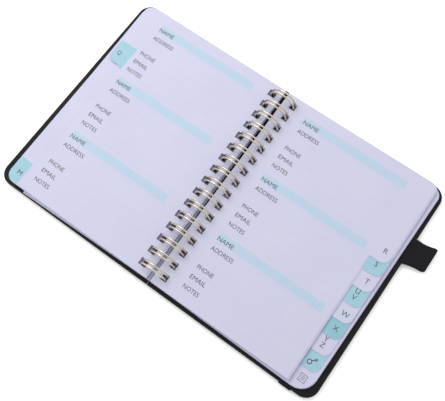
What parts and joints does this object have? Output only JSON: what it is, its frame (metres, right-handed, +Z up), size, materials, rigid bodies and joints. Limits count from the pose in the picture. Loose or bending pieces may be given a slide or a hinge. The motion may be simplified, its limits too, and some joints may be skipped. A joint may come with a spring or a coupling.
{
  "type": "address book",
  "caption": "Pocket address book lying open on a twin-loop wire, with hard covers, step-cut index leaves, an elastic closure and a pen loop.",
  "frame": {"origin": "on the table, under the middle of the wire's row of loops", "axes": "+X across the open spread towards the back cover and its pen loop, +Y up the page along the wire, +Z up from the table"},
  "size_m": [0.2329, 0.1464, 0.017],
  "materials": {
    "board": "matte",
    "cover_skin": "matte",
    "cover_liner": "matte",
    "elastic": "matte",
    "strap": "matte",
    "wire": "satin",
    "paper": "matte"
  },
  "bodies": {
    "back_cover": {"back_board": "board", "back_wrap": "cover_skin", "back_liner": "cover_liner", "elastic_band": "elastic", "pen_loop": "strap", "twin_loop_wire": "wire"},
    "front_cover": {"front_board": "board", "front_wrap": "cover_skin", "front_liner": "cover_liner"},
    "section_a": {"leaves_a": "paper"},
    "section_b": {"leaves_b": "paper"},
    "section_c": {"leaves_c": "paper"},
    "section_d": {"leaves_d": "paper"},
    "section_e": {"leaves_e": "paper"},
    "section_f": {"leaves_f": "paper"},
    "section_g": {"leaves_g": "paper"},
    "section_h": {"leaves_h": "paper"},
    "section_ij": {"leaves_ij": "paper"},
    "section_k": {"leaves_k": "paper"},
    "section_l": {"leaves_l": "paper"},
    "section_m": {"leaves_m": "paper"},
    "section_n": {"leaves_n": "paper"},
    "section_op": {"leaves_op": "paper"},
    "section_q": {"leaves_q": "paper"},
    "section_r": {"leaves_r": "paper"},
    "section_s": {"leaves_s": "paper"},
    "section_t": {"leaves_t": "paper"},
    "section_uv": {"leaves_uv": "paper"},
    "section_w": {"leaves_w": "paper"},
    "section_x": {"leaves_x": "paper"},
    "section_yz": {"leaves_yz": "paper"},
    "section_key": {"leaves_key": "paper"},
    "section_notes": {"leaves_notes": "paper"}
  },
  "joints": [
    {"name": "front_cover_turn", "type": "hinge", "parent": "back_cover", "child": "front_cover", "pos_m": [0, 0, 0.0086], "axis": [0, 1, 0], "range_deg": [0, 180]},
    {"name": "turn_a", "type": "hinge", "parent": "front_cover", "child": "section_a", "pos_m": [0, 0, 0.0086], "axis": [0, 1, 0], "range_deg": [0, 180]},
    {"name": "turn_b", "type": "hinge", "parent": "section_a", "child": "section_b", "pos_m": [0, 0, 0.0086], "axis": [0, 1, 0], "range_deg": [0, 180]},
    {"name": "turn_c", "type": "hinge", "parent": "section_b", "child": "section_c", "pos_m": [0, 0, 0.0086], "axis": [0, 1, 0], "range_deg": [0, 180]},
    {"name": "turn_d", "type": "hinge", "parent": "section_c", "child": "section_d", "pos_m": [0, 0, 0.0086], "axis": [0, 1, 0], "range_deg": [0, 180]},
    {"name": "turn_e", "type": "hinge", "parent": "section_d", "child": "section_e", "pos_m": [0, 0, 0.0086], "axis": [0, 1, 0], "range_deg": [0, 180]},
    {"name": "turn_f", "type": "hinge", "parent": "section_e", "child": "section_f", "pos_m": [0, 0, 0.0086], "axis": [0, 1, 0], "range_deg": [0, 180]},
    {"name": "turn_g", "type": "hinge", "parent": "section_f", "child": "section_g", "pos_m": [0, 0, 0.0086], "axis": [0, 1, 0], "range_deg": [0, 180]},
    {"name": "turn_h", "type": "hinge", "parent": "section_g", "child": "section_h", "pos_m": [0, 0, 0.0086], "axis": [0, 1, 0], "range_deg": [0, 180]},
    {"name": "turn_ij", "type": "hinge", "parent": "section_h", "child": "section_ij", "pos_m": [0, 0, 0.0086], "axis": [0, 1, 0], "range_deg": [0, 180]},
    {"name": "turn_k", "type": "hinge", "parent": "section_ij", "child": "section_k", "pos_m": [0, 0, 0.0086], "axis": [0, 1, 0], "range_deg": [0, 180]},
    {"name": "turn_l", "type": "hinge", "parent": "section_k", "child": "section_l", "pos_m": [0, 0, 0.0086], "axis": [0, 1, 0], "range_deg": [0, 180]},
    {"name": "turn_m", "type": "hinge", "parent": "section_l", "child": "section_m", "pos_m": [0, 0, 0.0086], "axis": [0, 1, 0], "range_deg": [0, 180]},
    {"name": "turn_n", "type": "hinge", "parent": "section_m", "child": "section_n", "pos_m": [0, 0, 0.0086], "axis": [0, 1, 0], "range_deg": [0, 180]},
    {"name": "turn_op", "type": "hinge", "parent": "section_n", "child": "section_op", "pos_m": [0, 0, 0.0086], "axis": [0, 1, 0], "range_deg": [0, 180]},
    {"name": "turn_q", "type": "hinge", "parent": "section_op", "child": "section_q", "pos_m": [0, 0, 0.0086], "axis": [0, 1, 0], "range_deg": [0, 180]},
    {"name": "turn_notes", "type": "hinge", "parent": "back_cover", "child": "section_notes", "pos_m": [0, 0, 0.0086], "axis": [0, -1, 0], "range_deg": [0, 180]},
    {"name": "turn_key", "type": "hinge", "parent": "section_notes", "child": "section_key", "pos_m": [0, 0, 0.0086], "axis": [0, -1, 0], "range_deg": [0, 180]},
    {"name": "turn_yz", "type": "hinge", "parent": "section_key", "child": "section_yz", "pos_m": [0, 0, 0.0086], "axis": [0, -1, 0], "range_deg": [0, 180]},
    {"name": "turn_x", "type": "hinge", "parent": "section_yz", "child": "section_x", "pos_m": [0, 0, 0.0086], "axis": [0, -1, 0], "range_deg": [0, 180]},
    {"name": "turn_w", "type": "hinge", "parent": "section_x", "child": "section_w", "pos_m": [0, 0, 0.0086], "axis": [0, -1, 0], "range_deg": [0, 180]},
    {"name": "turn_uv", "type": "hinge", "parent": "section_w", "child": "section_uv", "pos_m": [0, 0, 0.0086], "axis": [0, -1, 0], "range_deg": [0, 180]},
    {"name": "turn_t", "type": "hinge", "parent": "section_uv", "child": "section_t", "pos_m": [0, 0, 0.0086], "axis": [0, -1, 0], "range_deg": [0, 180]},
    {"name": "turn_s", "type": "hinge", "parent": "section_t", "child": "section_s", "pos_m": [0, 0, 0.0086], "axis": [0, -1, 0], "range_deg": [0, 180]},
    {"name": "turn_r", "type": "hinge", "parent": "section_s", "child": "section_r", "pos_m": [0, 0, 0.0086], "axis": [0, -1, 0], "range_deg": [0, 180]}
  ]
}
